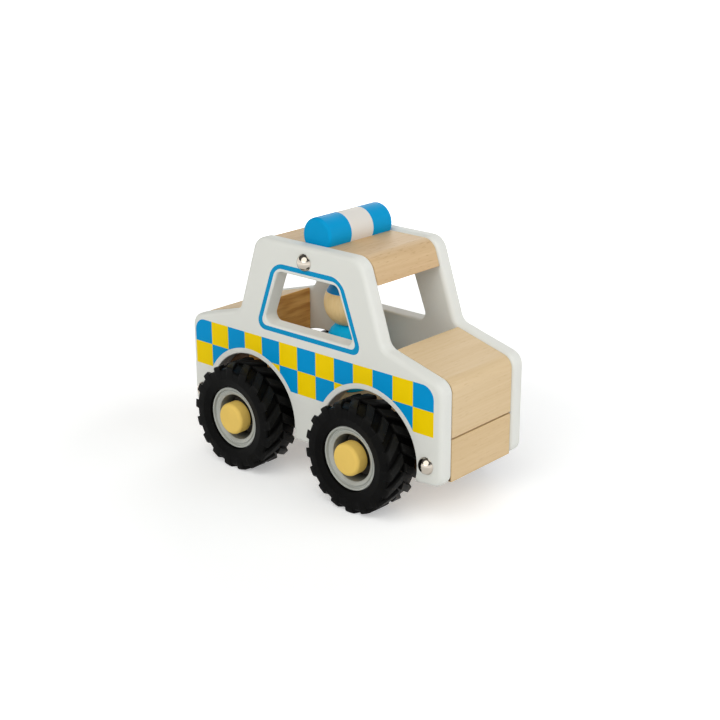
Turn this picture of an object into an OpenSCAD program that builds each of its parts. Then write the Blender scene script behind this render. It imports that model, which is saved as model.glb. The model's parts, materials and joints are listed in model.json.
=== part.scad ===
// Wooden toy police car: two painted side boards bolted over beech blocks, on four lugged rubber wheels.
// Frame: millimetres, +X to the front, +Z up, the floor at z = 0, the middle of the body at x = y = 0.

/* [Body] */
// Distance between the front and the rear axle
wheelbase = 64.2; // [58:0.1:75]
// From the front axle to the front end of the side boards
front_overhang = 36.8; // [35:0.1:45]
// From the rear axle to the rear end of the side boards
rear_overhang = 35; // [34:0.1:45]
// Width of the blocks between the side boards
block_w = 37; // [30:0.5:50]
// Thickness of a side board
panel_t = 7; // [5:0.1:10]
// Round-over along the outer edges of a side board
edge_round = 2; // [0.5:0.1:2.4]
// How far the side boards stand proud of the blocks all round
panel_proud = 0.6; // [0.4:0.1:2]
// Length of the roof between its two corners
roof_l = 56; // [48:0.5:64]
// Length of the cabin outline where the pillars meet bonnet and boot
pillar_foot_l = 77.8; // [72:0.1:84]
// Height of the roof above the underside of the chassis
roof_h = 81.3; // [76:0.1:92]
// Height of bonnet and boot at the pillars, above the underside of the chassis
scuttle_h = 48.3; // [45:0.1:52]
// Height of bonnet and boot at the body ends, above the underside of the chassis
nose_h = 40.3; // [36:0.1:44]
// Radius of the roof corners
roof_corner_r = 7; // [4:0.5:10]
// Radius of the hollow corner at the foot of a pillar
pillar_foot_r = 5; // [3:0.5:8]
// Radius of the upper corners at nose and tail
nose_r = 6; // [4:0.5:9]
// Radius of the lower corners at nose and tail
sill_r = 4.5; // [3:0.5:6]

/* [Blocks] */
// Height of the chassis board
chassis_h = 17.3; // [15:0.1:20]
// Length of the open cabin between the bonnet block and the boot block
cabin_l = 81; // [79:0.1:90]
// Height of the roof block
roof_block_h = 10.5; // [8:0.1:13]
// How far the top of the boot block lies inside the edge of the side boards
boot_inset = 0.1; // [0:0.1:1]
// Place of the driver, the light bar and the upper tie rod along the car, ahead of the middle
cabin_x = -1; // [-4:0.5:4]

/* [Side windows] */
// Height of the window sill above the underside of the chassis
sill_h = 46; // [42:0.1:52]
// Gap between the top of the window and the underside of the roof block
window_head = 1.5; // [0.5:0.1:4]
// Length of the window opening along the sill, before its corners are rounded
window_bottom_l = 49.4; // [40:0.1:54]
// Length of the window opening along the top, before its corners are rounded
window_top_l = 31.8; // [24:0.1:38]
// Corner radius of the window opening
window_r = 3; // [1:0.1:5]

/* [Wheels] */
// Diameter over the tyre lugs
tyre_d = 44.4; // [40:0.1:48]
// Widest part of the tyre, across its side walls
tyre_w = 16.4; // [13:0.1:18]
// Height of the tread lugs
lug_h = 1.4; // [0.8:0.1:2.2]
// Lugs on each half of the tread
lug_count = 17; // [14:1:24]
// How far a lug trails along the tread from its middle to its shoulder
lug_sweep = 6; // [2:0.1:8]
// Outer diameter of the rim
rim_d = 26; // [23:0.1:29]
// Diameter of the recess in the face of the rim
rim_recess_d = 19.2; // [17:0.1:21]
// Gap between the side of the chassis and the back of a tyre
tyre_clearance = 2.3; // [1.5:0.1:6]
// Gap between the tyre lugs and the wheel arch
arch_gap = 2.65; // [2:0.05:4]
// Diameter of the yellow hub cap
cap_d = 13.2; // [10:0.1:15]
// How far the hub cap stands out past the face of the rim
cap_proud = 2.5; // [1:0.1:5]
// Length of the hub cap
cap_l = 5.7; // [5:0.1:8]
// Diameter of the axle dowel
axle_d = 6; // [4:0.1:6.6]
// Height of the axle's middle above the underside of the chassis
axle_up = 5.2; // [4.6:0.1:8]

/* [Light bar] */
// Diameter of the dowel that the light bar is cut from
bar_d = 14.8; // [12:0.1:18]
// Height of the light bar above the roof block
bar_h = 10.7; // [8:0.1:12]
// Round-over at the two ends of the light bar
bar_round = 1.2; // [0.5:0.1:3]
// Diameter of the dowels under the light bar
bar_dowel_d = 4; // [3:0.1:5]
// Distance between the dowels under the light bar
bar_dowel_pitch = 20; // [12:0.5:26]
// Depth of a light bar dowel in the roof block
bar_dowel_in_roof = 2.8; // [1.5:0.1:3]
// Depth of a light bar dowel in the light bar
bar_dowel_in_bar = 5; // [3:0.1:7]

/* [Driver] */
// Diameter of the driver's body
driver_d = 17.2; // [14:0.1:20]
// Height of the driver's body
driver_body_h = 27.4; // [20:0.1:30]
// Radius of the driver's shoulders
shoulder_r = 6; // [3:0.1:6.4]
// Diameter of the driver's ball head
head_d = 20.4; // [16:0.1:22]
// Diameter of the flat under the head
head_flat_d = 10.3; // [7:0.1:12]
// Diameter of the dowel that joins chassis, body and head
driver_dowel_d = 4; // [3:0.1:4.6]
// Depth of the driver's dowel in the chassis
dowel_in_chassis = 8; // [5:0.5:12]
// Depth of the driver's dowel in the head
dowel_in_head = 8; // [5:0.5:10]

/* [Tie rods] */
// Diameter of the steel tie rods
rod_d = 3.5; // [2.5:0.1:4]
// Diameter of the domed end caps
dome_d = 7.4; // [6:0.1:8]
// Height of the domed end caps
dome_h = 2.8; // [2:0.1:3.6]
// Height of the lower tie rods above the underside of the chassis
rod_up = 7.4; // [6:0.1:10]
// Height of the upper tie rod above the underside of the roof block
roof_rod_up = 4.8; // [4:0.1:5]
// From the edge of a wheel arch to the middle of the tie rod beside it
rod_margin = 4.7; // [4:0.1:5]

/* [Clearances] */
// Radial gap of a glued or pressed round joint
glue_gap = 0.05; // [0.02:0.01:0.1]
// Radial gap between a wheel and its axle
run_gap = 0.06; // [0.03:0.01:0.1]
// End float of a wheel between the chassis and its hub cap
end_float = 0.4; // [0.3:0.1:0.8]
// Radial gap of a tie rod in its hole
rod_gap = 0.1; // [0.05:0.01:0.2]

/* [Hidden] */

// Cut-outs run past a face by this much
past = 1;
// Segments of an arc in an outline, and of a round-over
arc_steps = 8;
round_steps = 3;
// How far the outermost facet of a round-over runs on past the board's face, as a share of that facet
run_on = 0.3;
// Facets of turned pieces
$fn = 96;

// Heights
axle_z = tyre_d / 2;
base_z = axle_z - axle_up;
chassis_top_z = base_z + chassis_h;
roof_z = base_z + roof_h;
roof_top_z = roof_z - panel_proud;
roof_under_z = roof_top_z - roof_block_h;
sill_z = base_z + sill_h;
window_top_z = roof_under_z - window_head;
roof_rod_z = roof_under_z + roof_rod_up;
low_rod_z = base_z + rod_up;

// Lengths along the car
body_l = front_overhang + wheelbase + rear_overhang;
front_axle_x = body_l / 2 - front_overhang;
rear_axle_x = rear_overhang - body_l / 2;
arch_r = tyre_d / 2 + arch_gap;
front_rod_x = front_axle_x + arch_r + rod_margin;
rear_rod_x = rear_axle_x - arch_r - rod_margin;
block_l = body_l - 2 * panel_proud;

// Widths across the car
inner_y = block_w / 2;
outer_y = inner_y + panel_t;
wheel_y = inner_y + tyre_clearance + tyre_w / 2;

// Wheel profile, radius and distance outwards from the tyre's middle plane
rim_r = rim_d / 2;
seat_depth = 0.8;
seat_r = rim_r - seat_depth;
flange_t = 0.9;
face_inset = 1.5;
rim_face = tyre_w / 2 - face_inset;
bead_half = rim_face - flange_t;
lip_w = 0.8;
groove_w = 0.5;
groove_depth = 0.6;
draft = 0.35;
recess_r = rim_recess_d / 2;
recess_bevel = 1.4;
recess_edge = rim_face - recess_bevel;
recess_floor = -2;
barrel_t = 1.6;
web_t = 2.2;
hub_wall = 2;
hub_r = axle_d / 2 + hub_wall;
hub_inner_end = -(wheel_y - inner_y - end_float);
cap_outer_end = rim_face + cap_proud;
cap_inner_end = cap_outer_end - cap_l;
hub_outer_end = cap_inner_end - end_float;
cap_round = 1.2;
cap_wall = 2.5;
axle_half_l = wheel_y + cap_outer_end - cap_wall;

// Tyre section: foot of the side wall, edge of the tread, top of the lugs and the gap at the middle
foot_in = 0.7;
foot_up = 0.3;
wall_in = 0.15;
wall_drop = 0.8;
lug_wall_drop = 0.5;
tread_in = 0.5;
tread_drop = 0.1;
lug_edge_drop = 0.05;
half_gap = 0.4;
// Where a lug starts, is at its full height, starts to fall and ends, as shares of the pitch
lug_steps = [0, 0.05, 0.5, 0.55];

// Driver
body_r = driver_d / 2;
head_r = head_d / 2;
head_lift = sqrt(pow(head_r, 2) - pow(head_flat_d / 2, 2));
body_top_z = chassis_top_z + driver_body_h;
head_z = body_top_z + head_lift;

// Light bar
bar_r = bar_d / 2;
bar_z = roof_top_z + bar_h - bar_r;

// Domed end caps and rods
dome_wall = 1;
rod_half_l = outer_y + dome_h - dome_wall;
dome_sphere_r = (pow(dome_d / 2, 2) + pow(dome_h, 2)) / (2 * dome_h);

// Direction from one point to another, of length one
function unit(v) = v / norm(v);

// Points of the arc that rounds corner q between its neighbours p and s
function corner_arc(p, q, s, r) =
  let (a = unit(p - q), b = unit(s - q), half = acos(a * b) / 2)
  let (c = q + unit(a + b) * r / sin(half), from = q + a * r / tan(half) - c)
  let (start = atan2(from.y, from.x), turn = (180 - 2 * half) * sign(cross(q - p, s - q)))
  [for (i = [0:arc_steps]) c + r * [cos(start + turn * i / arc_steps), sin(start + turn * i / arc_steps)]];

// Corner i of a counter-clockwise outline moved inwards with both its edges by d
function inset_corner(v, i, d) =
  let (n = len(v), p = v[(i + n - 1) % n], q = v[i], s = v[(i + 1) % n])
  let (e = unit([q.x - p.x, q.y - p.y]), f = unit([s.x - q.x, s.y - q.y]))
  let (m = [-e.y, e.x], k = [-f.y, f.x])
  [q.x, q.y] + d * (m + k) / (1 + m * k);

// A hollow corner has a negative radius in the corner list, and gains what a full corner loses
function inset_radius(r, d) = r < 0 ? d - r : max(r - d, 0.2);

// Outline of corners [x, z, radius], moved inwards by d, as points
function outline(v, d = 0) =
  let (n = len(v), c = [for (i = [0:n - 1]) inset_corner(v, i, d)])
  [for (i = [0:n - 1]) each corner_arc(c[(i + n - 1) % n], c[i], c[(i + 1) % n], inset_radius(v[i].z, d))];

// Corners of the body seen from its right side, counter-clockwise from the lower front corner
half_body = [
  [body_l / 2, base_z - panel_proud, sill_r],
  [body_l / 2, base_z + nose_h, nose_r],
  [pillar_foot_l / 2, base_z + scuttle_h, -pillar_foot_r],
  [roof_l / 2, roof_z, roof_corner_r]
];
body_corners = concat(half_body, [for (i = [3:-1:0]) [-half_body[i].x, half_body[i].y, half_body[i].z]]);

// Height of a block's sloping top above the floor: x from the middle, inset from the edge of the boards
function bonnet_z(x, inset) =
  let (slope = (scuttle_h - nose_h) / (body_l / 2 - pillar_foot_l / 2))
  base_z + nose_h + slope * (body_l / 2 - x) - inset * sqrt(1 + slope * slope);

// Stands an outline drawn in x and z upright across the car, between two widths
module across(y0, y1) {
  translate([0, y1, 0]) rotate([90, 0, 0]) linear_extrude(y1 - y0) children();
}

// Bar along the car's width
module cross_cylinder(x, z, d, y0, y1) {
  translate([x, y1, z]) rotate([90, 0, 0]) cylinder(d = d, h = y1 - y0);
}

// Turned piece about the axle line: profile of radius and distance outwards from the tyre's middle plane
module turned(x, side, y) {
  translate([x, side * y, axle_z]) rotate([-90 * side, 0, 0]) rotate_extrude() children();
}

// Board with the body's outline and a round-over along both faces, by rings of shrinking outline cut flat
module rounded_board(y0, y1) {
  turn = 90 / round_steps;
  arc = [for (k = [0:round_steps]) edge_round * [1 - cos(turn * k), 1 - sin(turn * k)]];
  steps = concat([arc[0] + run_on * (arc[0] - arc[1])], [for (k = [1:round_steps]) arc[k]]);
  near = [for (p = steps) [y0 + p.x, p.y]];
  away = [for (k = [round_steps:-1:0]) [y1 - steps[k].x, steps[k].y]];
  rings = concat(near, away);
  loops = [for (r = rings) [for (p = outline(body_corners, r[1])) [p.x, r[0], p.y]]];
  n = len(loops[0]);
  last = len(rings) - 1;
  walls = [
    for (k = [0:last - 1], i = [0:n - 1])
      let (a = k * n + i, b = k * n + (i + 1) % n)
      each [[a, b, a + n], [b, b + n, a + n]]
  ];
  ends = [[for (i = [n - 1:-1:0]) i], [for (i = [0:n - 1]) last * n + i]];
  intersection() {
    polyhedron([for (l = loops) each l], concat(walls, ends), convexity = 6);
    translate([-body_l, y0, 0]) cube([2 * body_l, y1 - y0, 2 * roof_z]);
  }
}

// Corners of the window opening, counter-clockwise
window_corners = [
  [window_bottom_l / 2, sill_z, window_r],
  [window_top_l / 2, window_top_z, window_r],
  [-window_top_l / 2, window_top_z, window_r],
  [-window_bottom_l / 2, sill_z, window_r]
];

// Painted side board: window, two wheel arches and the three tie rod holes cut out of a rounded board
module side_board(y0, y1) {
  color("#E8E6E0") difference() {
    rounded_board(y0, y1);
    across(y0 - past, y1 + past) polygon(outline(window_corners));
    for (x = [front_axle_x, rear_axle_x])
      cross_cylinder(x, axle_z, 2 * arch_r, y0 - past, y1 + past);
    rod_holes(y0 - past, y1 + past);
  }
}

// Clearance holes for the three tie rods
module rod_holes(y0, y1) {
  cross_cylinder(cabin_x, roof_rod_z, rod_d + 2 * rod_gap, y0, y1);
  for (x = [front_rod_x, rear_rod_x])
    cross_cylinder(x, low_rod_z, rod_d + 2 * rod_gap, y0, y1);
}

module right_side_board() {
  side_board(-outer_y, -inner_y);
}

module left_side_board() {
  side_board(inner_y, outer_y);
}

// Chassis board: carries both axles, the two lower tie rods and the driver
module chassis_board() {
  color("#D9BE8E") difference() {
    translate([-block_l / 2, -inner_y, base_z]) cube([block_l, block_w, chassis_h]);
    for (x = [front_axle_x, rear_axle_x])
      cross_cylinder(x, axle_z, axle_d + 2 * glue_gap, -inner_y - past, inner_y + past);
    rod_holes(-inner_y - past, inner_y + past);
    driver_dowel_hole(chassis_top_z - dowel_in_chassis, chassis_top_z + past);
  }
}

// Block at one end of the body: its top slopes down to a rounded end
module end_block(dir, inset) {
  foot = chassis_top_z;
  shoulder = bonnet_z(cabin_l / 2, inset);
  tip = bonnet_z(block_l / 2, inset);
  ends = [cabin_l / 2, block_l / 2];
  nose = corner_arc([ends[1], foot], [ends[1], tip], [ends[0], shoulder], nose_r - inset);
  profile = concat([[ends[0], foot], [ends[1], foot]], nose, [[ends[0], shoulder]]);
  across(-inner_y, inner_y) polygon([for (p = profile) [dir * p.x, p.y]]);
}

module bonnet_block() {
  color("#DDC49C") end_block(1, panel_proud);
}

module boot_block() {
  color("#DDC49C") end_block(-1, boot_inset);
}

// Roof block: its ends follow the pillars, with a cross hole for the tie rod and two dowel sockets on top
module roof_block() {
  color("#DDC49C") difference() {
    across(-inner_y, inner_y) intersection() {
      polygon(outline(body_corners, panel_proud));
      translate([-block_l / 2, roof_under_z]) square([block_l, roof_block_h + past]);
    }
    cross_cylinder(cabin_x, roof_rod_z, rod_d + 2 * rod_gap, -inner_y - past, inner_y + past);
    bar_dowels(bar_dowel_d + 2 * glue_gap, roof_top_z - bar_dowel_in_roof - glue_gap, roof_top_z + past);
  }
}

// The pair of upright dowels, or their sockets
module bar_dowels(d, z0, z1) {
  for (side = [-1, 1])
    translate([cabin_x, side * bar_dowel_pitch / 2, z0]) cylinder(d = d, h = z1 - z0);
}

// Light bar: dowel with rounded ends, lying along the width, with a flat where it is glued to the roof
module light_bar() {
  half = block_w / 2;
  color("#0098D0") difference() {
    translate([cabin_x, 0, bar_z]) rotate([90, 0, 0]) rotate_extrude() {
      translate([0, -half]) square([bar_r - bar_round, 2 * half]);
      translate([0, -half + bar_round]) square([bar_r, 2 * (half - bar_round)]);
      for (end = [-1, 1])
        translate([bar_r - bar_round, end * (half - bar_round)]) circle(bar_round);
    }
    translate([cabin_x - bar_r, -half - past, bar_z - bar_r - past])
      cube([bar_d, 2 * (half + past), bar_r + past - (bar_z - roof_top_z)]);
    bar_dowels(bar_dowel_d + 2 * glue_gap, roof_top_z - past, roof_top_z + bar_dowel_in_bar + glue_gap);
  }
}

module light_bar_dowels() {
  color("#CDB083") bar_dowels(bar_dowel_d, roof_top_z - bar_dowel_in_roof, roof_top_z + bar_dowel_in_bar);
}

// Socket for the driver's dowel
module driver_dowel_hole(z0, z1) {
  translate([cabin_x, 0, z0]) cylinder(d = driver_dowel_d + 2 * glue_gap, h = z1 - z0);
}

// Driver's body: straight peg with round shoulders
module driver_body() {
  color("#0098D0") difference() {
    translate([cabin_x, 0, chassis_top_z]) rotate_extrude() {
      square([body_r, driver_body_h - shoulder_r]);
      square([body_r - shoulder_r, driver_body_h]);
      translate([body_r - shoulder_r, driver_body_h - shoulder_r]) intersection() {
        circle(shoulder_r);
        square(shoulder_r);
      }
    }
    driver_dowel_hole(chassis_top_z - past, body_top_z + past);
  }
}

// Driver's head: ball with a flat that rests on the body
module driver_head() {
  color("#DDC49C") difference() {
    translate([cabin_x, 0, head_z]) sphere(head_r);
    translate([cabin_x - head_r, -head_r, head_z - head_r - past])
      cube([head_d, head_d, head_r + past - head_lift]);
    driver_dowel_hole(body_top_z - past, body_top_z + dowel_in_head + glue_gap);
  }
}

module driver_dowel() {
  top = body_top_z + dowel_in_head;
  color("#CDB083") translate([cabin_x, 0, chassis_top_z - dowel_in_chassis])
    cylinder(d = driver_dowel_d, h = top - chassis_top_z + dowel_in_chassis);
}

module front_axle() {
  color("#CDB083") cross_cylinder(front_axle_x, axle_z, axle_d, -axle_half_l, axle_half_l);
}

module rear_axle() {
  color("#CDB083") cross_cylinder(rear_axle_x, axle_z, axle_d, -axle_half_l, axle_half_l);
}

// Moulded rim: tyre seat between two flanges, deep recess round the hub outside, dished inside
module rim(x, side) {
  bore_r = axle_d / 2 + run_gap;
  dish_r = seat_r - barrel_t;
  groove_r = rim_r - lip_w - draft;
  groove_floor = rim_face - groove_depth;
  web_back = recess_floor - web_t;
  color("#A9ABA5") turned(x, side, wheel_y) polygon([
    [bore_r, hub_inner_end], [hub_r, hub_inner_end], [hub_r + draft, web_back], [dish_r, web_back],
    [dish_r + draft, -rim_face], [rim_r, -rim_face], [rim_r, -bead_half], [seat_r, -bead_half],
    [seat_r, bead_half], [rim_r, bead_half], [rim_r, rim_face], [groove_r + draft, rim_face],
    [groove_r, groove_floor], [groove_r - groove_w, groove_floor], [recess_r, recess_edge],
    [recess_r - draft, recess_floor], [hub_r + draft, recess_floor], [hub_r, hub_outer_end],
    [bore_r, hub_outer_end]
  ]);
}

// Tyre cross section from the outer bead over the tread to the inner bead: distance outwards from the middle
// plane, radius between lugs, radius on lugs, and which half of the tread the ring belongs to
function tyre_rings() =
  let (r = tyre_d / 2, h = tyre_w / 2, low = r - lug_h, side_r = (rim_r + low) / 2)
  let (bore = seat_r + glue_gap, bead = bead_half - glue_gap, lip = rim_r + glue_gap)
  let (half = [
    [bead, bore, bore], [bead, lip, lip], [h - foot_in, lip + foot_up, lip + foot_up], [h, side_r, side_r],
    [h - wall_in, low - wall_drop, r - lug_wall_drop], [h - tread_in, low - tread_drop, r - lug_edge_drop],
    [h / 2 - half_gap, low, r], [half_gap, low, r]
  ])
  concat(
    [for (p = half) [p[0], p[1], p[2], 0]],
    [for (i = [len(half) - 1:-1:0]) [-half[i][0], half[i][1], half[i][2], 1]]
  );

// Rubber tyre with tractor lugs: the lugs of one half stand between those of the other, and trail outwards.
// One edge of a lug, given as a share of the pitch, stands on the floor
module tyre(x, side, on_floor) {
  rings = tyre_rings();
  n = 4 * lug_count;
  m = len(rings);
  sweep = lug_sweep / (PI * tyre_d) * 360 / (tyre_w / 2);
  pitch = 360 / lug_count;
  turn = 90 - pitch * on_floor;
  points = [
    for (g = rings, i = [0:n - 1])
      let (on_lug = (floor((i + 3) / 2) + g[3]) % 2 == 0, radius = on_lug ? g[2] : g[1])
      let (a = pitch * (floor(i / 4) + lug_steps[i % 4]) + sweep * max(abs(g[0]) - half_gap, 0) + turn)
      [radius * cos(a), g[0], -radius * sin(a)]
  ];
  walls = [
    for (k = [0:m - 1], i = [0:n - 1])
      let (j = (k + 1) % m, a = k * n + i, b = k * n + (i + 1) % n, c = j * n + i, d = j * n + (i + 1) % n)
      each [[a, b, c], [b, d, c]]
  ];
  color("#1A1A1A") translate([x, side * wheel_y, axle_z]) mirror([0, side < 0 ? 1 : 0, 0])
    polyhedron(points, walls, convexity = 8);
}

// Turned wooden hub cap, glued over the end of the axle
module hub_cap(x, side) {
  r = cap_d / 2;
  color("#E4C270") difference() {
    turned(x, side, wheel_y) {
      translate([0, cap_inner_end]) square([r, cap_outer_end - cap_round - cap_inner_end]);
      translate([0, cap_inner_end]) square([r - cap_round, cap_outer_end - cap_inner_end]);
      translate([r - cap_round, cap_outer_end - cap_round]) intersection() {
        circle(cap_round);
        square(cap_round);
      }
    }
    cross_cylinder(x, axle_z, axle_d + 2 * glue_gap, -axle_half_l - glue_gap, axle_half_l + glue_gap);
  }
}

module front_right_rim() { rim(front_axle_x, -1); }
module front_left_rim() { rim(front_axle_x, 1); }
module rear_right_rim() { rim(rear_axle_x, -1); }
module rear_left_rim() { rim(rear_axle_x, 1); }
module front_right_tyre() { tyre(front_axle_x, -1, lug_steps[1]); }
module front_left_tyre() { tyre(front_axle_x, 1, lug_steps[1]); }
module rear_right_tyre() { tyre(rear_axle_x, -1, lug_steps[2]); }
module rear_left_tyre() { tyre(rear_axle_x, 1, lug_steps[2]); }
module front_right_hub_cap() { hub_cap(front_axle_x, -1); }
module front_left_hub_cap() { hub_cap(front_axle_x, 1); }
module rear_right_hub_cap() { hub_cap(rear_axle_x, -1); }
module rear_left_hub_cap() { hub_cap(rear_axle_x, 1); }

module roof_tie_rod() {
  color("#B8BABC") cross_cylinder(cabin_x, roof_rod_z, rod_d, -rod_half_l, rod_half_l);
}

module front_tie_rod() {
  color("#B8BABC") cross_cylinder(front_rod_x, low_rod_z, rod_d, -rod_half_l, rod_half_l);
}

module rear_tie_rod() {
  color("#B8BABC") cross_cylinder(rear_rod_x, low_rod_z, rod_d, -rod_half_l, rod_half_l);
}

// Domed caps pressed over the rod ends on one side of the car
module dome_caps(side) {
  places = [[cabin_x, roof_rod_z], [front_rod_x, low_rod_z], [rear_rod_x, low_rod_z]];
  color("#C9CACB") difference() {
    for (p = places)
      translate([p[0], side * outer_y, p[1]]) rotate([-90 * side, 0, 0]) rotate_extrude() intersection() {
        translate([0, dome_h - dome_sphere_r]) circle(dome_sphere_r);
        square([dome_d / 2, dome_h]);
      }
    for (p = places)
      cross_cylinder(p[0], p[1], rod_d + 2 * glue_gap, -rod_half_l - glue_gap, rod_half_l + glue_gap);
  }
}

module right_dome_caps() {
  dome_caps(-1);
}

module left_dome_caps() {
  dome_caps(1);
}

right_side_board();
left_side_board();
chassis_board();
bonnet_block();
boot_block();
roof_block();
light_bar();
light_bar_dowels();
driver_body();
driver_head();
driver_dowel();
front_axle();
rear_axle();
front_right_rim();
front_left_rim();
rear_right_rim();
rear_left_rim();
front_right_tyre();
front_left_tyre();
rear_right_tyre();
rear_left_tyre();
front_right_hub_cap();
front_left_hub_cap();
rear_right_hub_cap();
rear_left_hub_cap();
roof_tie_rod();
front_tie_rod();
rear_tie_rod();
right_dome_caps();
left_dome_caps();
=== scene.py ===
# %% [markdown]
# # A wooden toy police car
#
# Two white plywood side boards are bolted over beech blocks, and four rubber tyres roll on wooden axles.
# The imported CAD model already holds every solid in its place, so this lesson only dresses it. Each cell
# makes one kind of piece or one finish, rides it on the CAD body that carries it, and says why it is made so.

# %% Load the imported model
import json
import math

import bmesh
import bpy
import numpy as np
from mathutils import Matrix, Vector

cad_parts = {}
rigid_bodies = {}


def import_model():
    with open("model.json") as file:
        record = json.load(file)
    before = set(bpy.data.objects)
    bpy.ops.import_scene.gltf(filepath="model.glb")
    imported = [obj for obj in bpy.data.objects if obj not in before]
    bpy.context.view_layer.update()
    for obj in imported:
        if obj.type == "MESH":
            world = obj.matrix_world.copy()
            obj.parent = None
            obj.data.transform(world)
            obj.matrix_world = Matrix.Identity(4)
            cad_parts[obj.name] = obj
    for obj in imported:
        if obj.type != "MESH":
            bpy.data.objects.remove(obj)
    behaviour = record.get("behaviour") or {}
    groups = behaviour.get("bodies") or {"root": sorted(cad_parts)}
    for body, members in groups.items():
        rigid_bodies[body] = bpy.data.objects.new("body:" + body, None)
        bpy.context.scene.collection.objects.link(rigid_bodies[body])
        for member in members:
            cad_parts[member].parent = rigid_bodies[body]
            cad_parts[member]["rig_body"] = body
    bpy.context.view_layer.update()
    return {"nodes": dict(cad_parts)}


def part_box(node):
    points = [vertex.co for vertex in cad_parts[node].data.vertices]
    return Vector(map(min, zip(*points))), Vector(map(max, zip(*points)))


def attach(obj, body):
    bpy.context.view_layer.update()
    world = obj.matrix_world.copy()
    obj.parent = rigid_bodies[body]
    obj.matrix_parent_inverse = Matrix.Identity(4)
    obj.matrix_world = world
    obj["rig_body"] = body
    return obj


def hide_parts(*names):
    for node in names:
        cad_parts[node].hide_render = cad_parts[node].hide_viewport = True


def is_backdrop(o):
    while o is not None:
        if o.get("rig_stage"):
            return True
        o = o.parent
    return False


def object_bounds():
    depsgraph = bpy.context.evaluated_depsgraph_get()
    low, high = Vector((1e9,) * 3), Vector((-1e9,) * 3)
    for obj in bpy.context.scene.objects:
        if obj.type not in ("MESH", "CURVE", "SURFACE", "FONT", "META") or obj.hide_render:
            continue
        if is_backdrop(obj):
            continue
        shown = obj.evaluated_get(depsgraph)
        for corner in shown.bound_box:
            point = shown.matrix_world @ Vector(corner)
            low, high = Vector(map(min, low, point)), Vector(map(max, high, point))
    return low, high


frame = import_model()
MM = 0.001

# %% [markdown]
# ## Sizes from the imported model
#
# A size that is typed in twice will sooner or later differ. So most sizes below are read from the boxes of the
# CAD nodes, in millimetres as on a drawing, and only what a box can't tell is written as a number.

# %% Boxes in millimetres
def box_mm(node):
    """Lowest and highest corner of a CAD node."""
    return [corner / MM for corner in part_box(node)]


def middle_mm(node):
    """Middle of a CAD node's box."""
    return sum(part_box(node), Vector()) / 2 / MM


low, high = box_mm("front_right_tyre")
print("a tyre is", round(high.x - low.x, 1), "mm across and", round(high.y - low.y, 1), "mm wide")

# %% [markdown]
# ## Helpers for materials
#
# A material is a graph of nodes. One function adds a node with its settings and its links, which keeps the
# cells below short. Colours are written as the hex values that a designer would read off a paint card, and
# shaders work in linear light, so one function turns the first into the second.

# %% Helpers for nodes and colours
def add(tree, kind, inputs=None, out=0, **settings):
    """Adds a node, sets its properties, fills or links its inputs, and gives one of its output sockets."""
    node = tree.nodes.new(kind)
    for name, value in settings.items():
        setattr(node, name, value)
    for key, value in (inputs or {}).items():
        if isinstance(value, bpy.types.NodeSocket):
            tree.links.new(value, node.inputs[key])
        else:
            node.inputs[key].default_value = value
    return node.outputs[out] if len(node.outputs) else node


def linear(code):
    """Linear RGBA of an sRGB hex colour."""
    parts = [int(code[i:i + 2], 16) / 255 for i in (1, 3, 5)]
    return tuple(p / 12.92 if p <= 0.04045 else ((p + 0.055) / 1.055) ** 2.4 for p in parts) + (1.0,)


def new_material(name):
    """An empty material, its node tree, and the Object coordinates that its patterns are laid on."""
    material = bpy.data.materials.new(name)
    material.use_nodes = True
    material.node_tree.nodes.clear()
    return material, material.node_tree, add(material.node_tree, "ShaderNodeTexCoord", out="Object")


COLOUR = {"out": 2, "data_type": "RGBA"}      # what makes a Mix node mix colours: inputs 6 and 7 by input 0
print("middle grey in linear light:", [round(v, 3) for v in linear("#808080")])

# %% [markdown]
# ## Beech, planed and lacquered
#
# The blocks between the boards are beech: pale, fine and even, with long soft bands of tone and short dark
# flecks where the rays are cut. Stretched noise gives all three. Each pattern is scaled from a real size, long
# along the grain and narrow across it. The flecks are drawn 0.5 mm wide, a little coarser than real ones, so
# that they still show at this distance. Every block gets its own stretch of board by a shift of the pattern.

# %% Patterns of the grain
PER_M = 1000.0                     # one over a millimetre, in metres
# width and length of each pattern in mm, and how broken up it is
GRAIN = {"band": (7.0, 120.0, 2.0), "fibre": (0.9, 30.0, 3.0), "fleck": (0.55, 4.0, 1.0)}
RING_SLANT = math.radians(35)      # how the saw crosses the growth rings
RING_SIZE = (30.0, 14.0, 1.6)      # size of their streaks on a raw end along x, y and z, mm


def grain_noise(tree, place, grain, shift):
    """The patterns of the grain, stretched along the axis number grain."""
    noise = {}
    for pattern, (width, length, detail) in GRAIN.items():
        scale = [PER_M / width] * 3
        scale[grain] = PER_M / length
        laid = add(tree, "ShaderNodeMapping", {"Vector": place, "Location": shift, "Scale": scale})
        noise[pattern] = add(tree, "ShaderNodeTexNoise", {"Vector": laid, "Scale": 1.0, "Detail": detail})
    return noise


def sawn_and_bounce_colour(tree, place):
    """Colour of a raw end: streaks where the saw cuts the growth rings at a slant, in a warm orange that is
    painted bounce light, for the warm light thrown about in the shade inside the car.
    """
    rings = {"Vector": place, "Rotation": (RING_SLANT, 0, 0), "Scale": [PER_M / size for size in RING_SIZE]}
    rings = add(tree, "ShaderNodeMapping", rings)
    rings = add(tree, "ShaderNodeTexNoise", {"Vector": rings, "Scale": 1.0, "Detail": 3.0})
    rings = add(tree, "ShaderNodeMapRange", {"Value": rings, "From Min": 0.35, "From Max": 0.65})
    # painted bounce light makes both colours warmer and more orange than the planed wood
    return add(tree, "ShaderNodeMix", {0: rings, 6: linear("#FFC876"), 7: linear("#DC9A4C")}, **COLOUR)


print("patterns of the grain:", list(GRAIN))


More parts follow.
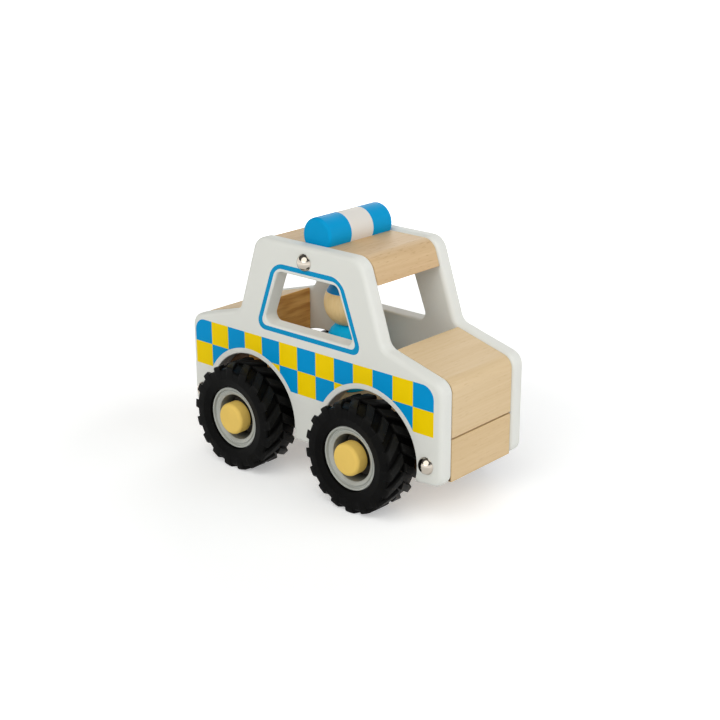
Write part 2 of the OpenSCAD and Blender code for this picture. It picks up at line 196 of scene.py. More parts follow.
# %% Beech
def beech(name, pale, deep, grain, shift, fleck=0.15, sawn_and_bounce_from=None, dark=None):
    """Beech whose grain runs along the axis number grain.

    Two places are given in mm: where its raw end starts, whose warm colour is partly end grain and partly
    painted bounce light, and where its sides start that are painted dark as painted shade.
    """
    material, tree, place = new_material(name)
    noise = grain_noise(tree, place, grain, shift)
    # Soft bands and fine fibre give the even honey tone, flecks the short dark marks
    tone = add(tree, "ShaderNodeMath", {0: noise["band"], 1: noise["fibre"]}, operation="ADD")
    tone = add(tree, "ShaderNodeMapRange", {"Value": tone, "From Min": 0.45, "From Max": 1.6})
    colour = add(tree, "ShaderNodeMix", {0: tone, 6: linear(pale), 7: linear(deep)}, **COLOUR)
    mark = {"Value": noise["fleck"], "From Min": 0.62, "From Max": 0.74, "To Max": fleck}
    mark = add(tree, "ShaderNodeMapRange", mark)
    colour = add(tree, "ShaderNodeMix", {0: mark, 6: colour, 7: linear("#A5773F")}, **COLOUR)
    if sawn_and_bounce_from is not None:
        # Past the raw end: streaks of end grain in a warm orange that is painted bounce light
        along = add(tree, "ShaderNodeSeparateXYZ", {0: place}, out="X")
        beyond = "GREATER_THAN" if sawn_and_bounce_from < 0 else "LESS_THAN"
        raw = add(tree, "ShaderNodeMath", {0: along, 1: sawn_and_bounce_from * MM}, operation=beyond)
        end = sawn_and_bounce_colour(tree, place)
        colour = add(tree, "ShaderNodeMix", {0: raw, 6: colour, 7: end}, **COLOUR)
    if dark is not None:
        # Painted shade: the sides that face the boards, seen behind the wheel arches, are coloured nearly black
        # brown for the deep shade in the narrow gap above the tyres. How dark to make them is a guess
        across = add(tree, "ShaderNodeSeparateXYZ", {0: place}, out="Y")
        across = add(tree, "ShaderNodeMath", {0: across}, operation="ABSOLUTE")
        side = add(tree, "ShaderNodeMath", {0: across, 1: dark * MM}, operation="GREATER_THAN")
        colour = add(tree, "ShaderNodeMix", {0: side, 6: colour, 7: linear("#5E4226")}, **COLOUR)
    # A thin satin lacquer: soft gloss that follows the fibre, and hardly any relief
    gloss = add(tree, "ShaderNodeMapRange", {"Value": noise["fibre"], "To Min": 0.45, "To Max": 0.6})
    relief = add(tree, "ShaderNodeBump", {"Strength": 0.25, "Distance": 0.05 * MM, "Height": noise["fibre"]})
    lacquer = {"Base Color": colour, "Roughness": gloss, "Normal": relief,
               "IOR": 1.5, "Specular IOR Level": 0.3}
    surface = add(tree, "ShaderNodeBsdfPrincipled", lacquer)
    add(tree, "ShaderNodeOutputMaterial", {"Surface": surface})
    return material


ALONG_Y, ALONG_Z = 1, 2            # numbers of the axes that the grain runs along
# the raw ends' warm orange is partly painted bounce light, and the blocks' dark sides are painted shade
SAWN_AND_BOUNCE_DEPTH, ARCH_SHADE_DEPTH = 0.3, 0.02              # depth of a raw sawn end and of a dark side, mm
boot_end, bonnet_end = box_mm("boot_block")[1].x - SAWN_AND_BOUNCE_DEPTH, box_mm("bonnet_block")[0].x + SAWN_AND_BOUNCE_DEPTH
# painted shade on the blocks' sides starts this far out from the middle, mm
arch_shade_from = box_mm("chassis_board")[1].y - ARCH_SHADE_DEPTH
roof_beech = beech("Beech, planed and lacquered, roof", "#DABD93", "#C6A376", ALONG_Y, (3.1, 0.4, 7.7), 0.4)
bonnet_beech = beech("Beech, planed and lacquered, bonnet", "#E0C7A0", "#D2B588", ALONG_Y, (11.3, 2.0, 4.1),
                     sawn_and_bounce_from=bonnet_end, dark=arch_shade_from)
boot_beech = beech("Beech, planed and lacquered, boot", "#DDC298", "#C9A873", ALONG_Y, (5.9, 7.3, 1.2),
                   sawn_and_bounce_from=boot_end, dark=arch_shade_from)
chassis_beech = beech("Beech, planed and lacquered, chassis", "#DDC298", "#CFB081", ALONG_Y, (8.2, 5.5, 9.6),
                      dark=arch_shade_from)
turned_beech = beech("Beech, turned and lacquered", "#F6DAA4", "#E8C68A", ALONG_Z, (1.7, 3.3, 6.4))
dowel_beech = beech("Beech, dowel rod", "#DCC49A", "#CBAE80", ALONG_Y, (2.4, 8.8, 0.9))
print("beech finishes:", len([m for m in bpy.data.materials if m.name.startswith("Beech")]))

# %% [markdown]
# ## White paint with a printed band
#
# The boards are sprayed satin white, and the checker band and the stripe round the window are printed on
# the outer face. A print has no thickness, so it belongs in the material and not in the mesh. The shader reads
# Object coordinates and works out, in millimetres, how far each point lies from the edges of the print, as a
# sign maker would draw it: a band of squares with two round corners, a white ring round each wheel arch, and a
# stripe that follows the window. Only points on the outer faces get ink.

# %% Places of the print, in millimetres
axle_front, axle_rear = middle_mm("front_axle"), middle_mm("rear_axle")
board_low, board_high = box_mm("right_side_board")
outer_y = -board_low.y         # the boards' outer faces lie this far from the middle
SQUARE = (10.0, 9.95)          # length and height of a checker square
BAND_REAR, BAND_TOP = -65.9, 56.45
COLUMNS, ROWS = 13, 2
BAND_CORNER = 5.5              # radius of the band's two upper corners
ARCH_R = 24.85                 # radius of a wheel arch
ARCH_MARGIN = 2.35             # white ring between a wheel arch and the print
STRIPE_Z = (60.95, 88.15)      # middle of the stripe below and above the window
STRIPE_HALF = (27.5, 17.6)     # half its length there, before the corners are rounded
STRIPE_CORNER, STRIPE_W = 4.2, 2.0
INK_DEPTH = 0.05               # how far behind the outer face ink still shows
half_band = COLUMNS * SQUARE[0] / 2
rise, run = STRIPE_Z[1] - STRIPE_Z[0], STRIPE_HALF[0] - STRIPE_HALF[1]
slant = math.hypot(rise, run)
print("band from x", BAND_REAR, "to", BAND_REAR + 2 * half_band)
print("axles at x", round(axle_front.x, 1), round(axle_rear.x, 1), "outer faces at y", round(outer_y, 1))


# %% Steps of the print
def rounded(name, a, b, radius):
    """Steps that find how far a point lies outside a round corner between the edges a and b."""
    return [
        ("over_a", "ADD", a, radius), ("over_a", "MAXIMUM", "over_a", 0.0),
        ("over_b", "ADD", b, radius), ("over_b", "MAXIMUM", "over_b", 0.0),
        ("square", "MULTIPLY", "over_a", "over_a"), ("reach", "MULTIPLY_ADD", "over_b", "over_b", "square"),
        ("reach", "SQRT", "reach"), ("deep", "MAXIMUM", a, b), ("deep", "ADD", "deep", radius),
        ("deep", "MINIMUM", "deep", 0.0), (name, "ADD", "reach", "deep"), (name, "SUBTRACT", name, radius),
    ]


# each step is one Math node: its name, what it does, and the names or numbers that it works on
print_steps = [
    ("end", "SUBTRACT", "x", BAND_REAR + half_band), ("end", "ABSOLUTE", "end"),
    ("end", "SUBTRACT", "end", half_band), ("top", "SUBTRACT", "z", BAND_TOP),
    *rounded("past_band", "end", "top", BAND_CORNER), ("band", "LESS_THAN", "past_band", 0.0),
    ("above_foot", "GREATER_THAN", "z", BAND_TOP - ROWS * SQUARE[1]),
    ("band", "MULTIPLY", "band", "above_foot"),
    ("clear", "GREATER_THAN", "front_arch", ARCH_R + ARCH_MARGIN), ("band", "MULTIPLY", "band", "clear"),
    ("clear", "GREATER_THAN", "rear_arch", ARCH_R + ARCH_MARGIN), ("band", "MULTIPLY", "band", "clear"),
    ("column", "SUBTRACT", "x", BAND_REAR), ("column", "DIVIDE", "column", SQUARE[0]),
    ("column", "FLOOR", "column"),
    ("row", "SUBTRACT", BAND_TOP, "z"), ("row", "DIVIDE", "row", SQUARE[1]), ("row", "FLOOR", "row"),
    ("yellow", "ADD", "column", "row"), ("yellow", "FLOORED_MODULO", "yellow", 2.0),
    ("side", "ABSOLUTE", "x"), ("side", "SUBTRACT", "side", STRIPE_HALF[0]),
    ("side", "MULTIPLY", "side", rise / slant),
    ("lean", "SUBTRACT", "z", STRIPE_Z[0]), ("side", "MULTIPLY_ADD", "lean", run / slant, "side"),
    ("below", "SUBTRACT", STRIPE_Z[0], "z"), ("above", "SUBTRACT", "z", STRIPE_Z[1]),
    ("level", "MAXIMUM", "below", "above"), *rounded("past_stripe", "side", "level", STRIPE_CORNER),
    ("stripe", "ABSOLUTE", "past_stripe"), ("stripe", "LESS_THAN", "stripe", STRIPE_W / 2),
    ("outside", "ABSOLUTE", "y"), ("outside", "GREATER_THAN", "outside", outer_y - INK_DEPTH),
    ("band", "MULTIPLY", "band", "outside"), ("stripe", "MULTIPLY", "stripe", "outside"),
]
print("steps of the print:", len(print_steps))


# %% White paint and print
def printed_paint(name, white, blue, yellow, stripe_blue):
    """Satin white paint on plywood, with the checker band and the window stripe printed on the outer faces."""
    material, tree, place = new_material(name)
    in_mm = add(tree, "ShaderNodeVectorMath", {0: place, "Scale": PER_M}, operation="SCALE")
    flat = add(tree, "ShaderNodeVectorMath", {0: in_mm, 1: (1, 0, 1)}, operation="MULTIPLY")
    made = {axis: add(tree, "ShaderNodeSeparateXYZ", {0: in_mm}, out=i) for i, axis in enumerate("xyz")}
    for arch, axle in (("front_arch", axle_front), ("rear_arch", axle_rear)):
        hub = {0: flat, 1: (axle.x, 0, axle.z)}
        made[arch] = add(tree, "ShaderNodeVectorMath", hub, out="Value", operation="DISTANCE")
    for step, operation, *values in print_steps:
        values = {i: made.get(value, value) for i, value in enumerate(values)}
        made[step] = add(tree, "ShaderNodeMath", values, operation=operation)
    ink = add(tree, "ShaderNodeMix", {0: made["yellow"], 6: linear(blue), 7: linear(yellow)}, **COLOUR)
    colour = add(tree, "ShaderNodeMix", {0: made["band"], 6: linear(white), 7: ink}, **COLOUR)
    colour = add(tree, "ShaderNodeMix", {0: made["stripe"], 6: colour, 7: linear(stripe_blue)}, **COLOUR)
    # Spray paint over plywood: a faint orange peel of about 1.2 mm, and long fibres that show through it
    peel = add(tree, "ShaderNodeTexNoise", {"Vector": place, "Scale": PER_M / 1.2, "Detail": 2.0})
    ply = add(tree, "ShaderNodeMapping", {"Vector": place, "Scale": (PER_M / 40, PER_M / 1.5, PER_M / 1.5)})
    ply = add(tree, "ShaderNodeTexNoise", {"Vector": ply, "Scale": 1.0, "Detail": 2.0})
    height = add(tree, "ShaderNodeMath", {0: ply, 1: 0.8, 2: peel}, operation="MULTIPLY_ADD")
    relief = add(tree, "ShaderNodeBump", {"Strength": 0.2, "Distance": 0.04 * MM, "Height": height})
    gloss = add(tree, "ShaderNodeMapRange", {"Value": peel, "To Min": 0.42, "To Max": 0.56})
    satin = {"Base Color": colour, "Roughness": gloss, "Normal": relief,
             "IOR": 1.48, "Specular IOR Level": 0.06}
    surface = add(tree, "ShaderNodeBsdfPrincipled", satin)
    add(tree, "ShaderNodeOutputMaterial", {"Surface": surface})
    return material


board_paint = printed_paint("Satin white paint on plywood, printed", "#E4E4DE", "#0094D2", "#F6D200", "#0E93C6")
print("print nodes:", len(board_paint.node_tree.nodes))

# %% [markdown]
# ## Paint on turned wood
#
# The light bar, the driver's body and the hub caps are dipped in paint. Dipped paint is a thick even film:
# satin, a little uneven in tone and gloss, with the lathe marks and the grain of the wood just showing. The
# light bar carries two colours, and their borders are plain widths in millimetres.

# %% Paints
DARK_PATCH = 0.9     # brightness of the film's darker patches, as a share of the rest


def dipped_paint(name, main, second=None, axis=ALONG_Z, border=(0.0, 0.0)):
    """Dipped satin paint. Between the two borders along an axis, in millimetres, the second colour shows."""
    material, tree, place = new_material(name)
    cloud = add(tree, "ShaderNodeTexNoise", {"Vector": place, "Scale": PER_M / 9.0, "Detail": 3.0})
    film = add(tree, "ShaderNodeTexNoise", {"Vector": place, "Scale": PER_M / 0.9, "Detail": 2.0})
    light, dark = linear(main), tuple(c * DARK_PATCH for c in linear(main)[:3]) + (1.0,)
    colour = add(tree, "ShaderNodeMix", {0: cloud, 6: light, 7: dark}, **COLOUR)
    if second:
        along = add(tree, "ShaderNodeSeparateXYZ", {0: place}, out=axis)
        above = add(tree, "ShaderNodeMath", {0: along, 1: border[0] * MM}, operation="GREATER_THAN")
        below = add(tree, "ShaderNodeMath", {0: along, 1: border[1] * MM}, operation="LESS_THAN")
        mask = add(tree, "ShaderNodeMath", {0: above, 1: below}, operation="MULTIPLY")
        colour = add(tree, "ShaderNodeMix", {0: mask, 6: colour, 7: linear(second)}, **COLOUR)
    relief = add(tree, "ShaderNodeBump", {"Strength": 0.2, "Distance": 0.05 * MM, "Height": film})
    gloss = add(tree, "ShaderNodeMapRange", {"Value": cloud, "To Min": 0.4, "To Max": 0.55})
    satin = {"Base Color": colour, "Roughness": gloss, "Normal": relief,
             "IOR": 1.48, "Specular IOR Level": 0.08}
    surface = add(tree, "ShaderNodeBsdfPrincipled", satin)
    add(tree, "ShaderNodeOutputMaterial", {"Surface": surface})
    return material


bar_paint = dipped_paint("Satin paint on turned beech, blue and white", "#009CD6", "#E2DDD6",
                         ALONG_Y, (-6.1, 6.7))
driver_paint = dipped_paint("Satin paint on turned beech, blue", "#0CBCF4")
cap_paint = dipped_paint("Satin paint on turned beech, yellow", "#F4CE6C")
print("paints:", bar_paint.name, driver_paint.name, cap_paint.name)

# %% [markdown]
# ## The driver's head
#
# The head is a bare beech ball whose top has been dipped in blue for a cap. That is one piece with two
# finishes, so the beech graph is extended: above the dip line the paint's colour replaces the wood's.

# %% Beech ball with a dipped cap
DIP_ABOVE_CENTRE = 4.8   # mm


def dipped_ball(name, dip_z):
    """The turned beech with everything above the dip line in mm painted blue."""
    material = turned_beech.copy()
    material.name = name
    tree = material.node_tree
    shader = next(n for n in tree.nodes if n.type == "BSDF_PRINCIPLED")
    wood = shader.inputs["Base Color"].links[0].from_socket
    place = add(tree, "ShaderNodeTexCoord", out="Object")
    height = add(tree, "ShaderNodeSeparateXYZ", {0: place}, out="Z")
    dipped = add(tree, "ShaderNodeMath", {0: height, 1: dip_z * MM}, operation="GREATER_THAN")
    colour = add(tree, "ShaderNodeMix", {0: dipped, 6: wood, 7: linear("#0080C0")}, **COLOUR)
    tree.links.new(colour, shader.inputs["Base Color"])
    return material


head_low, head_high = box_mm("driver_head")
head_r = (head_high.x - head_low.x) / 2
head_z = head_high.z - head_r
head_finish = dipped_ball("Beech, turned and lacquered, dipped blue", head_z + DIP_ABOVE_CENTRE)
print("head centre at", round(head_z, 1), "mm, radius", round(head_r, 1))

# %% [markdown]
# ## Moulded grey ABS, rubber, steel and nickel
#
# The rims are moulded in a grey plastic with a fine spark-eroded grain. The tyres are moulded rubber: nearly
# black with a faint dull bloom in patches, and the tops of the lugs painted a little greyer as painted sheen.
# The tie rods are drawn steel, and their domed end caps are bright nickel plate, which is almost a mirror.
# Where a moulding's colour changes over its shape, as painted shade down a rim's well and painted sheen on the
# tops of the lugs, a number on each point of its mesh says how far, because Object coordinates alone can't tell
# a well from a lip.

# %% Moulded finishes
def moulded(name, base, bloom, gloss, shine, grit, depth, second):
    """A moulded surface: base and bloom colours, roughness from gloss, a grain of grit mm, depth mm deep.

    Where the mesh's attribute "second" is 1, the colour second takes over. The rims use it for painted shade in
    their wells, the tyres for painted sheen on their lugs.
    """
    material, tree, place = new_material(name)
    cloud = add(tree, "ShaderNodeTexNoise", {"Vector": place, "Scale": PER_M / 6.0, "Detail": 4.0})
    grain = add(tree, "ShaderNodeTexNoise", {"Vector": place, "Scale": PER_M / grit, "Detail": 2.0})
    patch = add(tree, "ShaderNodeMapRange", {"Value": cloud, "From Min": 0.35, "From Max": 0.75})
    colour = add(tree, "ShaderNodeMix", {0: patch, 6: linear(base), 7: linear(bloom)}, **COLOUR)
    share = add(tree, "ShaderNodeAttribute", out="Fac", attribute_name="second")
    colour = add(tree, "ShaderNodeMix", {0: share, 6: colour, 7: linear(second)}, **COLOUR)
    rough = add(tree, "ShaderNodeMapRange", {"Value": cloud, "To Min": gloss[0], "To Max": gloss[1]})
    relief = add(tree, "ShaderNodeBump", {"Strength": 0.4, "Distance": depth * MM, "Height": grain})
    skin = {"Base Color": colour, "Roughness": rough, "Normal": relief,
            "IOR": 1.5, "Specular IOR Level": shine}
    surface = add(tree, "ShaderNodeBsdfPrincipled", skin)
    add(tree, "ShaderNodeOutputMaterial", {"Surface": surface})
    return material


def share_of_shade_and_sheen(mesh, measures, start, full):
    """Sets the attribute "second" of a mesh: 0 where a point's measure is at start, 1 where it is at full."""
    share = np.clip((np.array(measures) - start) / (full - start), 0, 1)
    mesh.attributes.new("second", "FLOAT", "POINT").data.foreach_set("value", share.tolist())


# 3A362D is painted shade, laid down a rim's well
rim_plastic = moulded("ABS, moulded grey", "#B3B5AF", "#A9ABA5", (0.36, 0.46), 0.4, 0.5, 0.02, "#3A362D")
# 181817 is painted sheen, laid on the tops of a tyre's lugs
tyre_rubber = moulded("Rubber, moulded black", "#040404", "#080807", (0.34, 0.48), 0.05, 0.6, 0.04, "#181817")
print("moulded finishes:", rim_plastic.name, tyre_rubber.name)


# %% Metals
def metal(name, base, rough, scratch):
    """Bare or plated metal: fine scratches of scratch mm vary its roughness."""
    material, tree, place = new_material(name)
    fine = add(tree, "ShaderNodeTexNoise", {"Vector": place, "Scale": PER_M / scratch, "Detail": 4.0})
    gloss = add(tree, "ShaderNodeMapRange", {"Value": fine, "To Min": rough[0], "To Max": rough[1]})
    bare = {"Base Color": linear(base), "Metallic": 1.0, "Roughness": gloss}
    surface = add(tree, "ShaderNodeBsdfPrincipled", bare)
    add(tree, "ShaderNodeOutputMaterial", {"Surface": surface})
    return material


rod_steel = metal("Steel, drawn", "#B4B6B8", (0.25, 0.4), 0.4)
dome_nickel = metal("Nickel plate, polished", "#BDB4A8", (0.06, 0.14), 1.5)
print("finishes in all:", len(bpy.data.materials))

# %% [markdown]
# ## A mesh from millimetres, and its place on the car
#
# Every piece below is worked out in millimetres in the car's own frame and ends as a mesh at the origin. One
# function turns the points and faces into a mesh in metres, a second says which CAD node the piece stands for,
# and a third does both, eases or marks the hard edges, and lets the large flat faces rule the shading, so that
# round-overs look smooth and flats stay flat.

# %% Helpers for pieces
def as_mesh(name, bm):
    """A smooth mesh in metres from points and faces in millimetres, which are used up."""
    mesh = bpy.data.meshes.new(name)
    bm.transform(Matrix.Scale(MM, 4))
    bm.normal_update()
    bm.to_mesh(mesh)
    bm.free()
    mesh.polygons.foreach_set("use_smooth", [True] * len(mesh.polygons))
    return mesh


def put_on_car(piece, node):
    """Lets a piece ride on the body of a CAD node and stand for that node."""
    bpy.context.scene.collection.objects.link(piece)
    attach(piece, frame["nodes"][node]["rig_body"])
    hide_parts(node)


def finish_piece(name, bm, material, node, ease=0.0, sharp=35.0):
    """Makes a piece, eases by ease mm or else marks its edges over sharp degrees, and puts it on the car."""
    mesh = as_mesh(name, bm)
    mesh.materials.append(material)
    piece = bpy.data.objects.new(name, mesh)
    if ease:
        bevel = piece.modifiers.new("eased edges", "BEVEL")
        bevel.width, bevel.segments = ease * MM, 3
        bevel.limit_method, bevel.angle_limit = "ANGLE", math.radians(sharp)
    else:
        mesh.set_sharp_from_angle(angle=math.radians(sharp))
    flat = piece.modifiers.new("flats rule the shading", "WEIGHTED_NORMAL")
    flat.keep_sharp, flat.weight = True, 80
    put_on_car(piece, node)
    return piece


print("nodes to dress:", len(frame["nodes"]))

# %% [markdown]
# ## The side boards
#
# Each board is sawn from 7 mm plywood and run round with a rounding cutter. Extruding a flat outline and
# bevelling it would do, but a bevel treats the window, the arches and the outer edge alike. So the board is
# lofted: rings of points follow the edge round its curve, and every ring knows how far it has moved in and how
# deep it lies. The outer edge gets a large round-over, the window and the arches a small one.

# %% Rounded outlines
def corner_arc(before, corner, after, radius, steps=12):
    """Points of the arc that rounds a corner between its two neighbours."""
    corner = np.array(corner, float)
    a = np.array(before, float) - corner
    b = np.array(after, float) - corner
    a, b = a / np.linalg.norm(a), b / np.linalg.norm(b)
    half = math.acos(np.clip(a @ b, -1, 1)) / 2
    centre = corner + (a + b) / np.linalg.norm(a + b) * radius / math.sin(half)
    start = corner + a * radius / math.tan(half) - centre
    turn = math.pi - 2 * half
    turn *= 1 if a[0] * b[1] - a[1] * b[0] < 0 else -1
    angles = math.atan2(start[1], start[0]) + turn * np.linspace(0, 1, steps + 1)
    return [centre + radius * np.array((math.cos(t), math.sin(t))) for t in angles]


def outline(corners, inset=0.0):
    """Closed outline of corners (x, z, radius), moved inwards. A hollow corner has a negative radius."""
    n, moved = len(corners), []
    for i in range(n):
        p, q, s = (np.array(corners[(i + k) % n][:2], float) for k in (-1, 0, 1))
        e, f = (q - p) / np.linalg.norm(q - p), (s - q) / np.linalg.norm(s - q)
        m, k = np.array((-e[1], e[0])), np.array((-f[1], f[0]))
        moved.append(q + inset * (m + k) / (1 + m @ k))
    points = []
    for i in range(n):
        r = corners[i][2]
        r = inset - r if r < 0 else max(r - inset, 0.1)
        points += corner_arc(moved[i - 1], moved[i], moved[(i + 1) % n], r)
    return points


def mirrored(front_half):
    """All corners of an outline whose rear half mirrors its front half."""
    return front_half + [(-x, z, r) for x, z, r in reversed(front_half)]


NOSE_Z = 57.3                            # height of the bonnet's front corner, mm
SCUTTLE = (38.9, 65.3)                   # foot of the pillars, mm
ROOF_X = 28.0                            # half the roof's length, mm
SILL_R, NOSE_R, SCUTTLE_R, ROOF_R = 4.5, 6.0, -5.0, 7.0   # corners of the board, mm
body_corners = mirrored([(board_high.x, board_low.z, SILL_R), (board_high.x, NOSE_Z, NOSE_R),
                         (*SCUTTLE, SCUTTLE_R), (ROOF_X, board_high.z, ROOF_R)])
WINDOW_Z, WINDOW_HALF = (63.0, 85.7), (24.7, 15.9)   # sill and head of the window, half its length there, mm
WINDOW_CORNER = 3.0                      # mm
window_corners = mirrored([(x, z, WINDOW_CORNER) for x, z in zip(WINDOW_HALF, WINDOW_Z)])
print("points of the outline:", len(outline(body_corners)), "and of the window:", len(outline(window_corners)))

# %% Edges of a board
EDGE_ROUND, WINDOW_ROUND, ARCH_ROUND = 2.0, 0.8, 0.5   # mm
ROUND_STEPS, ARCH_STEPS = 6, 48


def edge_ring(turn):
    """Points (x, z, depth) round the board's outer edge and both arches, at an angle of the round-over."""
    inward, depth = 1 - math.sin(turn), 1 - math.cos(turn)
    ring = [(p[0], p[1], EDGE_ROUND * depth) for p in outline(body_corners, EDGE_ROUND * inward)]
    radius = ARCH_R + ARCH_ROUND * inward
    for axle in (axle_rear, axle_front):
        drop = axle.z - (board_low.z + EDGE_ROUND * inward)
        low = math.pi + math.asin(drop / radius)
        for t in np.linspace(low, math.pi - low, ARCH_STEPS + 1):
            ring.append((axle.x + radius * math.cos(t), axle.z + radius * math.sin(t), ARCH_ROUND * depth))
    return ring


def window_ring(turn):
    """Points (x, z, depth) round the window opening, at an angle of its round-over."""
    inward, depth = 1 - math.sin(turn), 1 - math.cos(turn)
    return [(p[0], p[1], WINDOW_ROUND * depth) for p in outline(window_corners, -WINDOW_ROUND * inward)]


print("points round the board and its arches:", len(edge_ring(0.0)))


# %% Side boards
SIDES = (("right", -1), ("left", 1))      # the car's two sides, and which way y runs there
inner_y = -board_high.y


def loft(bm, rows):
    """Faces between rows of points that each close on themselves. A row of one point is a pole."""
    for low, high in zip(rows, rows[1:]):
        steps = max(len(low), len(high))
        for k in range(steps):
            j = (k + 1) % steps
            ring = [low[k % len(low)], low[j % len(low)], high[j % len(high)], high[k % len(high)]]
            bm.faces.new(list(dict.fromkeys(ring)))


def side_board(node, side):
    """A side board: both edges lofted, both faces filled between them."""
    bm = bmesh.new()
    turns = [math.pi / 2 * k / ROUND_STEPS for k in range(ROUND_STEPS + 1)]
    outer_loops, inner_loops = [], []
    for ring_at in (edge_ring, window_ring):
        rows = []
        for face_y, inwards, order in ((outer_y, -1, turns), (inner_y, 1, turns[::-1])):
            for turn in order:
                points = [(x, side * (face_y + inwards * depth), z) for x, z, depth in ring_at(turn)]
                rows.append([bm.verts.new(p) for p in points])
        loft(bm, rows)
        outer_loops.append(rows[0])
        inner_loops.append(rows[-1])
    for loops in (outer_loops, inner_loops):
        edges = [bm.edges.get((loop[i], loop[i - 1])) for loop in loops for i in range(len(loop))]
        bmesh.ops.triangle_fill(bm, use_beauty=True, use_dissolve=False, edges=edges)
    bmesh.ops.recalc_face_normals(bm, faces=bm.faces)
    return finish_piece(node + "_painted", bm, board_paint, node)


for hand, side in SIDES:
    board = side_board(f"{hand}_side_board", side)
    print(board.name, len(board.data.polygons), "faces")

# %% [markdown]
# ## The beech blocks
#
# Chassis, bonnet, boot and roof are lengths of planed board whose ends follow the same outline, a little
# inside the boards. Each is an extruded profile. The maker eases every edge with a sanding block, and a Bevel
# modifier does that here, which also opens the fine dark seam where two blocks meet.

# %% Profiles of the blocks
PROUD, BOOT_INSET = 0.6, 0.1    # how far the boards stand out past the roof and bonnet, and past the boot, mm
SEAM = 0.55                     # dark joint between a block and the chassis under it, mm


def keep_above(points, level):
    """The part of a closed outline above a height."""
    kept = []
    for i, p in enumerate(points):
        q = points[i - 1]
        if (p[1] > level) != (q[1] > level):
            kept.append(q + (p - q) * (level - q[1]) / (p[1] - q[1]))
        if p[1] > level:
            kept.append(p)
    return kept


def end_profile(node, ahead, inset):
    """Profile of the bonnet (ahead 1) or boot (ahead -1): level foot, sloping top, rounded end."""
    low, high = box_mm(node)
    inner, tip = sorted((ahead * low.x, ahead * high.x))
    slope = (SCUTTLE[1] - NOSE_Z) / (board_high.x - SCUTTLE[0])
    ridge = NOSE_Z - inset * math.hypot(1, slope)
    tip_z, inner_z = (ridge + slope * (board_high.x - x) for x in (tip, inner))
    nose = corner_arc((tip, low.z), (tip, tip_z), (inner, inner_z), NOSE_R - inset)
    points = [(inner, low.z + SEAM), (tip, low.z + SEAM), *nose, (inner, inner_z)]
    return [(ahead * p[0], p[1]) for p in points]


low, high = box_mm("chassis_board")
chassis_profile = [(low.x, low.z), (high.x, low.z), (high.x, high.z), (low.x, high.z)]
roof_profile = keep_above(outline(body_corners, PROUD), box_mm("roof_block")[0].z)
print("points of the roof's profile:", len(roof_profile))

# %% Blocks
EASE = 0.45                     # sanded edge, mm


def block(node, profile, material):
    """A profile in x and z, extruded across the car between the boards."""
    bm = bmesh.new()
    low, high = box_mm(node)
    near, far = ([bm.verts.new((p[0], y, p[1])) for p in profile] for y in (low.y, high.y))
    bm.faces.new(near)
    bm.faces.new(reversed(far))
    for i in range(len(near)):
        bm.faces.new((near[i - 1], near[i], far[i], far[i - 1]))
    bmesh.ops.recalc_face_normals(bm, faces=bm.faces)
    return finish_piece(node + "_planed", bm, material, node, ease=EASE)


blocks = [
    block("chassis_board", chassis_profile, chassis_beech),
    block("roof_block", roof_profile, roof_beech),
    block("bonnet_block", end_profile("bonnet_block", 1, PROUD), bonnet_beech),
    block("boot_block", end_profile("boot_block", -1, BOOT_INSET), boot_beech),
]
print("blocks:", [b.name for b in blocks])

# %% [markdown]
# ## Turned pieces
#
# Hub caps, rims, the driver, the light bar and the domed caps all come off a lathe or out of a round mould. A
# profile of radius against length is rounded at its corners and swept round the axis. Building the rings in
# code leaves a single clean point at each pole, where Spin would leave doubles.

# %% Lathe
ARC_STEPS = 5        # steps of a profile's rounded corner
DOUBLE = 1e-4        # points closer than this are one, mm


def profile_of(corners):
    """Open profile of (radius, along, corner radius), each inner corner rounded."""
    points = [np.array(corners[0][:2], float)]
    for before, here, after in zip(corners, corners[1:], corners[2:]):
        if here[2]:
            points += corner_arc(before[:2], here[:2], after[:2], here[2], ARC_STEPS)
        else:
            points.append(np.array(here[:2], float))
    return points + [np.array(corners[-1][:2], float)]


def turned(bm, profile, at, steps=96):
    """Sweeps a profile round an axis. at(radius, along, cos, sin) gives the place of a point."""
    angles = [2 * math.pi * k / steps for k in range(steps)]
    rows = []
    for radius, along in profile:
        if radius < DOUBLE:
            rows.append([bm.verts.new(at(0.0, along, 1.0, 0.0))])
        else:
            rows.append([bm.verts.new(at(radius, along, math.cos(t), math.sin(t))) for t in angles])
    loft(bm, rows)
    bmesh.ops.recalc_face_normals(bm, faces=bm.faces)
    return bm


def turned_ring(section, at, steps=96):
    """Sweeps a section that ends where it starts, and joins its two ends."""
    bm = turned(bmesh.new(), profile_of(section), at, steps)
    bmesh.ops.remove_doubles(bm, verts=bm.verts, dist=DOUBLE)
    bmesh.ops.recalc_face_normals(bm, faces=bm.faces)
    return bm


def upright(x, y):
    """Place of a turned point about an upright axis."""
    return lambda r, along, c, s: (x + r * c, y + r * s, along)


def sideways(x, z, side, start=0.0):
    """Place of a turned point about an axis across the car, with along counted outwards from start."""
    return lambda r, along, c, s: (x + r * c, start + side * along, z + r * s)


print("points of a round with 1 mm corners:", len(profile_of([(0, 0, 0), (5, 0, 1), (5, 9, 1), (0, 9, 0)])))

# %% [markdown]
# ## Wheels: hub caps and rims
#
# The hub cap is a yellow plug glued on the axle end, with a softly rounded rim. The grey rim has a bright
# outer lip, a shallow groove inside it, a slope down to the recess and a deep well that the cap stands in.
# The well is painted darker towards its floor as painted shade, and how far is kept on the points of its mesh.

# %% Hub caps and rims
WHEELS = [(end, hand, axle, side) for end, axle in (("front", axle_front), ("rear", axle_rear))
          for hand, side in SIDES]
CAP_ROUND, CAP_FOOT = 1.5, 0.3      # rounding of a cap's outer and inner edge, mm
RIM_FACE, RIM_BACK = 35.7, 22.3     # from the middle of the car, mm
# Painted shade: a rim's colour darkens down its well between the two distances below
WELL_SHADE = (34.6, 32.2)                 # a rim darkens down its well between these distances from there, mm
